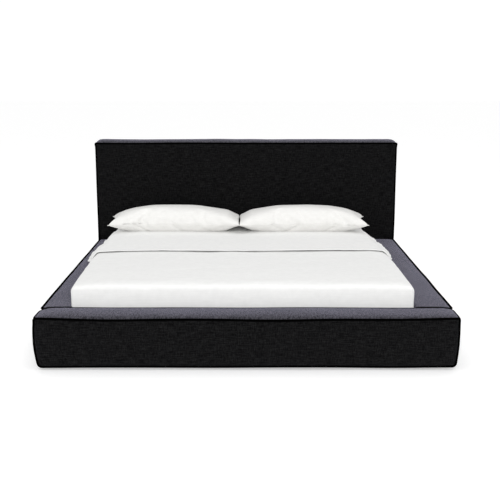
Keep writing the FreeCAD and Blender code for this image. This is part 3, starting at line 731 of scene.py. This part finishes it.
def join_strips(cover, strips, bend):
    """Adds strips, each a list of rings of points, to a cover's mesh, sharing its first ring's vertices."""
    bm = bmesh.new()
    bm.from_mesh(cover.data)
    layer = bm.loops.layers.uv["weave"]
    for rings in strips:
        grid = [[bm.verts.new(p) for p in bend(np.asarray(ring))] for ring in rings]
        run = distances(rings[0])
        for corners in grid_cells(len(grid[0]), len(grid)):
            quad = bm.faces.new([grid[j][i] for i, j in corners])
            quad.smooth = True
            for loop, (i, j) in zip(quad.loops, corners):
                loop[layer].uv = (run[i], 0.012 * j)
    bmesh.ops.remove_doubles(bm, verts=bm.verts, dist=1e-5)
    bm.to_mesh(cover.data)
    bm.free()


# ---- drawer fronts ----
WRAP = 0.0022  # the cloth of a drawer front stands this far out over its board's edges
LIP = 0.012  # and runs this far in behind it


def drawer_front(place, side):
    """The padded face of a drawer, wrapped round its board."""
    name = f"{place}_{side}_drawer"
    _, outer_face, inner_face = facing(side)
    lo, hi = box(f"{name}_front_pad")
    back = inner_face[1]
    (lo, hi)[back][0] = box(f"{name}_front_board")[back][0]
    lo[1:] -= WRAP
    hi[1:] += WRAP
    shell = box_shell(lo, hi)
    seams = [(outer_face, face) for face in (FOOT, HEAD, UNDER, TOP)]
    points = puffed(shell, {outer_face: 0.004}, seams, tuck=DRAWER_WELT_INSET)
    middles = shell.middles()[:, 1:]
    behind = np.all((middles > lo[1:] + LIP) & (middles < hi[1:] - LIP), axis=1)
    shell.keep(~(shell.quads_on(inner_face) & behind))
    cover = shell.object(f"{name}_front_upholstery", wobble(points, 0.0006, 90))
    upholster(cover, name, [f"{name}_front_pad"])
    loop = wobble(seam_loop(lo, hi, outer_face, DRAWER_WELT_INSET), 0.0006, 90)
    pipe(f"{name}_front_welt", [(loop, True)], DRAWER_WELT_R, name)


# ---- bedding ----
FOOT_CORNER_R = 0.020  # mattress edge at the foot, where the bedding is pulled crisp
HEAD_CORNER_R = 0.055  # and at the head, where it is soft
SKEW = -0.030  # sideways drift of the bedding for each metre towards the head,
SKEW_LENGTH = 1.15  # which levels out over this length
LEFT_SPREAD = 0.045  # how far the bedding stands out over the left rail
PLUMP = 0.024  # how far the bedding's top rises towards the foot,
PLUMP_ROLL = 0.075  # after a roll this deep
# the turned-down sheet's ends: how far out each lies at the hem, how much less by the pillows, and its
# height over the rail
LEFT_END = (1.134, 0.055, 0.013)
RIGHT_END = (1.042, 0.066, 0.026)
END_SLANT = 0.25  # how far they fall towards the pillows
SHEET_OVER_BED = 0.012  # how far the turned-down sheet stands off the mattress
# across the bed: places, and how far the turned-down sheet's hem lies towards the head there
HEM_AT = ((-1.045, -0.055), (-1.0, -0.045), (-0.87, -0.012), (-0.6, 0.005), (0.0, -0.012), (0.58, 0.021),
          (0.85, 0.018), (0.94, -0.012), (0.966, -0.040))
(_, BED_FOOT, _), (BED_HALF, _, BED_TOP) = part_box("mattress")
RAIL_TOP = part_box("left_rail_cover")[1][2]


def drift(y, right=0.0):
    """How far the bedding lies to the side along the bed. right is 1 at its right edge and 0 at its left."""
    still = right * (1 - ramp(-0.3, 0.6, y))
    return SKEW * SKEW_LENGTH * np.tanh(np.clip(y - BED_FOOT, 0, None) / SKEW_LENGTH) * (1 - still)


def spread(points, left_spread=LEFT_SPREAD):
    """Moves bedding above the rails as it really lies: drifting left, and standing out over the left rail.

    The top is plump at the foot and rolls over softly there.
    """
    out = points.copy()
    across = points[:, 0] / BED_HALF
    above = ramp(RAIL_TOP - 0.030, RAIL_TOP - 0.012, points[:, 2])
    out[:, 0] -= left_spread * np.clip(-across, 0, 1) * above
    out[:, 0] += drift(points[:, 1], np.clip(across, 0, 1)) * above
    inside = np.clip(BED_HALF + 0.004 - abs(points[:, 0]), 0, None)
    roll = np.clip((points[:, 1] - BED_FOOT + 0.004) / PLUMP_ROLL, 0, 1)
    swell = (1 - np.exp(-inside / 0.05)) * np.sqrt(1 - (1 - roll) ** 2)
    swell *= 1 - ramp(-0.85, -0.10, points[:, 1])
    out[:, 2] += PLUMP * swell * ramp(BED_TOP - 0.05, BED_TOP, points[:, 2])
    return out


def edge_radius(y):
    """Radius of the bedding's long edges at places along the bed."""
    t = ramp(BED_FOOT + 0.5, BED_FOOT + 1.5, y)
    return FOOT_CORNER_R + (HEAD_CORNER_R - FOOT_CORNER_R) * t


def thicken(obj, thickness):
    """Gives a sheet its thickness, inwards."""
    mod = obj.modifiers.new("thickness", "SOLIDIFY")
    mod.thickness = thickness
    mod.offset = -1.0


def wrapped_layer(node, layer, thickness, ripple, seed):
    """A cloth over the mattress's top, foot and sides. layer is how far it stands off the mattress."""
    lo, hi = box(node)
    shell = box_shell(lo, hi, (0.02, 0.02, 0.014))
    flat = shell.flat
    points = flat.copy()
    long_edge = edge_radius(flat[:, 1]) + layer
    for one, other, radius in ((TOP, LEFT, long_edge), (TOP, RIGHT, long_edge), (TOP, FOOT, 0.012),
                               (FOOT, LEFT, 0.014), (FOOT, RIGHT, 0.014)):
        turn_edge(shell, points, one, other, radius)
    above = ramp(RAIL_TOP, BED_TOP, flat[:, 2])
    calm = np.minimum(1.0, shell.gap(UNDER) / 0.06)
    creases = waves(flat, 0.22, seed) + 0.6 * waves(flat * (1, 2.5, 1), 0.16, seed + 1)
    points[:, 2] += ripple * calm * creases * above
    for face in (FOOT, LEFT, RIGHT):
        on = shell.on[face]
        inwards = -OUTWARD[face[1]] * 0.5 * ripple
        points[on, face[0]] += inwards * (1 + waves(flat[on], 0.12, seed + 3)) * calm[on]
    shell.keep(~shell.quads_on(UNDER, HEAD))
    obj = shell.object(f"bed_{node}", spread(points))
    thicken(obj, thickness)
    finish_piece(obj, "cotton", "base", [node])


def hanging_end(run, edge, z_top, radius, end):
    """One end of a row of the turned-down sheet, as X outwards and Z.

    It goes round the bed's edge and curves out to its end on the rail. run is 0 at the hem and 1 at the
    pillows. Also gives how far each point has fallen towards the pillows, which slants the end.
    """
    arc = [math.radians(a) for a in np.linspace(90, 25 + 35 * run, 8)]
    part = [(edge - radius + radius * math.cos(a), z_top - radius + radius * math.sin(a)) for a in arc]
    out, drawn_in, lift = end
    p0, p3 = np.array(part[-1]), np.array((out - drawn_in * run ** 2, RAIL_TOP + lift + 0.045 * run))
    reach = np.linalg.norm(p3 - p0)
    p1 = p0 + 0.42 * reach * np.array((math.sin(arc[-1]), -math.cos(arc[-1])))
    p2 = p3 - 0.40 * reach * np.array((0.96, -0.28))
    steps = np.linspace(0, 1, 16)[1:]
    for t in steps:
        part.append(tuple((1 - t) ** 3 * p0 + 3 * t * (1 - t) ** 2 * p1
                          + 3 * t * t * (1 - t) * p2 + t ** 3 * p3))
    return part, np.concatenate([np.zeros(len(arc)), END_SLANT * steps ** 1.3])


def turned_down():
    """The top of the coverlet folded back over it: a wide band whose ends fall on the rails."""
    lo, hi = box("turned_down_sheet")
    coverlet_top = box("coverlet")[1][2]
    rows = lines(lo[1], hi[1], CELL)
    half = BED_HALF + SHEET_OVER_BED
    grid, fall = [], []
    for y in rows:
        from_hem = y - lo[1]
        run = from_hem / (hi[1] - lo[1])
        z_top = coverlet_top + 0.0085 + 0.0065 * math.exp(-(from_hem / 0.05) ** 1.5)
        radius = float(edge_radius(y)) + SHEET_OVER_BED
        edge = half + LEFT_SPREAD - float(drift(y))
        left, left_fall = hanging_end(run, edge, z_top, radius, LEFT_END)
        right, right_fall = hanging_end(run, half + float(drift(y, 1.0)), z_top, radius, RIGHT_END)
        across = np.linspace(-left[0][0], right[0][0], 130)[1:-1]
        row = [(-x, z) for x, z in left[::-1]] + [(x, z_top) for x in across] + right
        fall.append(np.concatenate([left_fall[::-1], np.zeros(len(across)), right_fall]))
        grid.append([(x, y, z) for x, z in row])
    grid = np.array(grid)
    fall = np.array(fall).ravel()
    ny, nx = grid.shape[:2]
    flat = grid.reshape(-1, 3)
    run = (flat[:, 1] - lo[1]) / (hi[1] - lo[1])
    hem = np.interp(flat[:, 0], *np.array(HEM_AT).T)
    folds = waves(flat * (0, 1, 0), 0.16, 305)
    ripple = 0.0012 * waves(flat, 0.24, 302) + 0.0006 * waves(flat * (1, 2, 1), 0.12, 303)
    flat[:, 1] += hem * (1 - run) ** 2 + fall * (1 - run)
    flat[:, 2] += abs(ripple)
    hanging = ramp(0.0, 0.12, fall)
    flat[:, 0] += np.sign(flat[:, 0]) * 0.006 * folds * hanging
    flat[:, 2] += 0.004 * abs(waves(flat * (1, 3, 0), 0.20, 307)) * hanging
    faces, uv = [], []
    span = distances(grid[0])
    for corners in grid_cells(nx, ny):
        faces.append([j * nx + i for i, j in corners])
        uv += [(span[i], rows[j]) for i, j in corners]
    obj = make_object("bed_turned_down_sheet", flat, faces, uv)
    thicken(obj, 0.006)
    soften = obj.modifiers.new("soft_hem", "BEVEL")
    soften.width = 0.0022
    soften.segments = 2
    finish_piece(obj, "cotton", "base", ["turned_down_sheet"])


def mattress():
    """The mattress, quilted on its top and underside and tufted along its sides."""
    lo, hi = box("mattress")
    shell = box_shell(lo, hi, (0.03, 0.03, 0.02))
    flat = shell.flat
    points = flat.copy()
    for side in (LEFT, RIGHT):
        turn_edge(shell, points, TOP, side, edge_radius(flat[:, 1]))
    for one, other in ((TOP, FOOT), (TOP, HEAD), (UNDER, FOOT), (UNDER, HEAD), (UNDER, LEFT), (UNDER, RIGHT),
                       (FOOT, LEFT), (FOOT, RIGHT), (HEAD, LEFT), (HEAD, RIGHT)):
        turn_edge(shell, points, one, other, 0.022)
    for side in (LEFT, RIGHT):
        on = shell.on[side]
        tuft = abs(np.sin(flat[on, 1] * 21)) * np.sin(math.pi * (flat[on, 2] - lo[2]) / (hi[2] - lo[2]))
        points[on, 0] -= OUTWARD[side[1]] * 0.004 * (1 - tuft)
    for face, depth in ((UNDER, 0.003), (TOP, 0.004)):
        on = shell.on[face]
        quilt = 1 - abs(np.sin(flat[on, 0] * 16) * np.sin(flat[on, 1] * 16))
        points[on, 2] -= OUTWARD[face[1]] * depth * quilt
    obj = shell.object("quilted_mattress", spread(points, LEFT_SPREAD * 0.5))
    finish_piece(obj, "ticking", "base", ["mattress"])


# ---- pillows ----
PILLOW_FRAMES = 26  # of cloth simulation
PILLOW_ABOVE = 0.124  # from the seam up to the crown
PILLOW_BELOW = 0.064  # and down to the bed


def places(obj):
    """An object's vertices as an array."""
    p = np.empty(len(obj.data.vertices) * 3)
    obj.data.vertices.foreach_get("co", p)
    return p.reshape(-1, 3)


def set_places(obj, p):
    """Puts an object's vertices at those places."""
    obj.data.vertices.foreach_set("co", p.ravel())
    obj.data.update()


def pillow(side):
    """A pillow in its case: two flat layers sewn round the edge and blown up, then settled on the bed."""
    lo, hi = box(f"{side}_pillow")
    width, depth, _ = hi - lo
    cut = np.array((width * 1.02, depth * 1.16))
    half = 0.5 * cut
    xs, ys = (np.linspace(-h, h, int(c / CELL) + 1) for h, c in zip(half, cut))
    shell = Shell(xs, ys, np.array([-0.001, 0.001]))
    rim = shell.on[LEFT] | shell.on[RIGHT] | shell.on[FOOT] | shell.on[HEAD]
    shell.keep(shell.quads_on(UNDER, TOP))
    start = shell.flat.copy()
    bulge = np.cos(math.pi * start[:, 0] / cut[0]) * np.cos(math.pi * start[:, 1] / cut[1])
    start[:, 2] = np.sign(start[:, 2]) * (0.004 + 0.03 * np.clip(bulge, 0, 1) ** 0.5)
    start[rim, 2] = 0.0
    start[:, 2] += 0.002 * waves(start, 0.12, 400 + len(side))
    obj = shell.object(f"{side}_pillow_case", start)
    obj.vertex_groups.new(name="rim").add(np.flatnonzero(rim).tolist(), 1.0, "REPLACE")
    obj.modifiers.new("weld", "WELD").merge_threshold = 0.0006
    apply_modifiers(obj)
    blow_up(obj)
    settle(obj, lo, hi, 1 if side == "left" else -1)
    p = places(obj)
    edge = np.array([v.index for v in obj.data.vertices if v.groups])
    middle = (lo + hi) / 2
    angle = np.arctan2((p[edge, 1] - middle[1]) / depth, (p[edge, 0] - middle[0]) / width)
    seam = tube(f"{side}_pillow_seam", [(p[edge[np.argsort(angle)]], True)], 0.0024, 8)
    finish_piece(seam, "pillow", "base", ())
    obj.vertex_groups.clear()
    smoother = obj.modifiers.new("subdivision", "SUBSURF")
    smoother.levels = smoother.render_levels = 1
    finish_piece(obj, "pillow", "base", [f"{side}_pillow"])


def apply_modifiers(obj):
    """Turns an object's modified shape into its mesh."""
    graph = bpy.context.evaluated_depsgraph_get()
    graph.update()
    mesh = bpy.data.meshes.new_from_object(obj.evaluated_get(graph))
    obj.modifiers.clear()
    obj.data = mesh


def blow_up(obj):
    """Inflates a sewn shape by cloth simulation and keeps the result."""
    cloth = obj.modifiers.new("cloth", "CLOTH")
    s = cloth.settings
    s.quality = 6
    s.mass = 0.25
    s.tension_stiffness = s.compression_stiffness = 25
    s.shear_stiffness = 12
    s.bending_stiffness = 0.4
    s.tension_damping = s.compression_damping = 12
    s.air_damping = 4
    s.use_pressure = True
    s.uniform_pressure_force = 4.5
    s.effector_weights.gravity = 0
    cloth.point_cache.frame_start = 1
    cloth.point_cache.frame_end = PILLOW_FRAMES
    for at in range(1, PILLOW_FRAMES + 1):
        bpy.context.scene.frame_set(at)
    apply_modifiers(obj)
    bpy.context.scene.frame_set(1)


def settle(obj, lo, hi, inward):
    """Fits a blown-up pillow to its place: flat underneath, with its inner end pressed against its neighbour.

    inward is 1 where the neighbour lies towards +X.
    """
    p = places(obj)
    p -= (p.max(axis=0) + p.min(axis=0)) / 2
    size = np.ptp(p, axis=0)
    wanted = hi - lo
    half, half_depth, _ = wanted / 2
    p[:, :2] *= wanted[:2] / size[:2]
    x = p[:, 0] * inward
    # the inner end bulges towards the neighbour and is stopped by it
    level = p[:, 2] / size[2]
    x += (0.012 + 0.032 * np.exp(-((level - 0.10) / 0.22) ** 2)) * ramp(half - 0.22, half, x)
    soft, plane = 0.020, half + 0.004
    past = np.clip(x - (plane - soft), 0, None)
    x = np.where(past > 0, plane - soft * np.exp(-past / soft), x)
    # the outer end is drawn in between its two corners, and the corner by the headboard reaches furthest
    v = p[:, 1] / half_depth
    outer = ramp(0.55 * half, half, -x)
    x += 0.030 * outer * (1 - np.clip(v, -1, 1) ** 2) - 0.016 * outer * ramp(0.5, 1.0, v)
    p[:, 0] = x * inward
    # the crown and the underside get their heights, and the underside lies on the bed
    above, below = p[:, 2].max(), -p[:, 2].min()
    full = PILLOW_ABOVE * np.clip(p[:, 2] / above, 0, 1) ** 0.78
    p[:, 2] = np.where(p[:, 2] > 0, full, p[:, 2] * PILLOW_BELOW * 1.7 / below)
    floor = -PILLOW_BELOW
    under = np.clip(-p[:, 2], 0, PILLOW_BELOW)
    p[:, 1] -= np.sign(p[:, 1]) * 0.9 * under * np.clip(abs(p[:, 1]) / half_depth, 0, 1) ** 2
    p[:, 2] = np.where(p[:, 2] < floor, floor - 0.002 * np.tanh((floor - p[:, 2]) / 0.02), p[:, 2])
    # and the inner end is squeezed thin
    p[:, 2] *= 1 - 0.42 * ramp(plane - 0.10, plane, x)
    middle = (lo + hi) / 2
    p += (middle[0], middle[1], lo[2] - floor + 0.004)
    set_places(obj, p)


# ---- CAD nodes that stay ----
NODE_MATERIALS = {
    "ply_x": ("foot_rail_frame", "headboard_frame", "headboard_back_panel", "left_drawer_bay",
              "right_drawer_bay"),
    "ply_y": ("left_rail_frame", "right_rail_frame"),
    "pine_x": ("left_slats", "right_slats"),
    "pine_y": ("slat_ledges", "centre_beam"),
    "pine_z": ("centre_legs",),
    "tape": ("slat_straps",),
    "black_steel": ("corner_brackets", "beam_hangers"),
    "zinc": ("corner_bolts", "fixed_slides"),
    "glide": ("floor_glides",),
}
DRAWER_MATERIALS = {"drawer_front_board": "ply_y", "drawer_box": "birch", "drawer_bottom": "birch",
                    "drawer_slides": "zinc", "middle_slides": "zinc"}


def dress_nodes():
    """Gives every CAD node that stays a finished material."""
    wanted = {node: material for material, nodes in NODE_MATERIALS.items() for node in nodes}
    for place in ("front", "rear"):
        for side in ("left", "right"):
            for part, material in DRAWER_MATERIALS.items():
                wanted[f"{place}_{side}_{part}"] = material
    for node, material in wanted.items():
        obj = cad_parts[node]
        if not obj.material_slots:
            obj.data.materials.append(None)
        for slot in obj.material_slots:
            slot.material = MATERIALS[material]


# ---- camera, floor and light ----
def camera():
    """The view from the foot."""
    data = bpy.data.cameras.new("camera")
    data.lens = CAMERA_LENS
    data.sensor_width = 36
    data.shift_x = CAMERA_SHIFT_X
    obj = new_object("camera", data)
    obj.location = (0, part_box("foot_rail_cover")[0][1] - CAMERA_BACK, CAMERA_HEIGHT)
    obj.rotation_euler = (math.radians(90 - CAMERA_PITCH), 0, 0)
    bpy.context.scene.camera = obj


def floor():
    """A pale floor, which glows a little so that it matches the white behind it."""
    half = 40.0
    points = [(-half, -half, 0), (half, -half, 0), (half, half, 0), (-half, half, 0)]
    obj = make_object("floor", points, [(0, 1, 2, 3)], smooth=False)
    n = Nodes("pale_floor")
    n.set(Base_Color=(0.90, 0.90, 0.90), Roughness=0.9, Specular_IOR_Level=0.1,
          Emission_Color=(1, 1, 1), Emission_Strength=0.34)
    obj.data.materials.append(n.material)


def area_light(name, place, target, size, power):
    """A rectangular light of that size in metres and power in watts, turned to its target."""
    data = bpy.data.lights.new(name, "AREA")
    data.shape = "RECTANGLE"
    data.size, data.size_y = size
    data.energy = power
    obj = new_object(name, data)
    obj.location = place
    obj.rotation_euler = (Vector(target) - Vector(place)).to_track_quat("-Z", "Y").to_euler()


def studio():
    """A white world, brighter to the camera than on the bed, and two soft lights."""
    world = bpy.data.worlds.new("white_studio")
    bpy.context.scene.world = world
    world.use_nodes = True
    nodes = world.node_tree.nodes
    path = nodes.new("ShaderNodeLightPath")
    level = nodes.new("ShaderNodeMapRange")
    level.inputs["To Min"].default_value = 0.72
    level.inputs["To Max"].default_value = 1.05
    nodes["Background"].inputs[0].default_value = (1, 1, 1, 1)
    world.node_tree.links.new(path.outputs["Is Camera Ray"], level.inputs["Value"])
    world.node_tree.links.new(level.outputs[0], nodes["Background"].inputs[1])
    area_light("overhead", (0, 0.3, 4.0), (0, 0.2, 0), (4.0, 4.0), 33)
    area_light("front", (1.0, -13.0, 4.2), (0, 0, 0.3), (8.0, 5.0), 695)
    bpy.context.scene.view_settings.view_transform = "Standard"
    bpy.context.scene.view_settings.look = "None"


# ---- build ----
camera()
floor()
studio()
dress_nodes()
foot_rail()
headboard()
for rail_side in ("left", "right"):
    side_rail(rail_side)
    for rail_place in ("front", "rear"):
        drawer_front(rail_place, rail_side)
mattress()
wrapped_layer("fitted_sheet", layer=0.0015, thickness=0.001, ripple=0.0006, seed=221)
wrapped_layer("coverlet", layer=0.005, thickness=0.003, ripple=0.0012, seed=201)
turned_down()
for pillow_side in ("left", "right"):
    pillow(pillow_side)
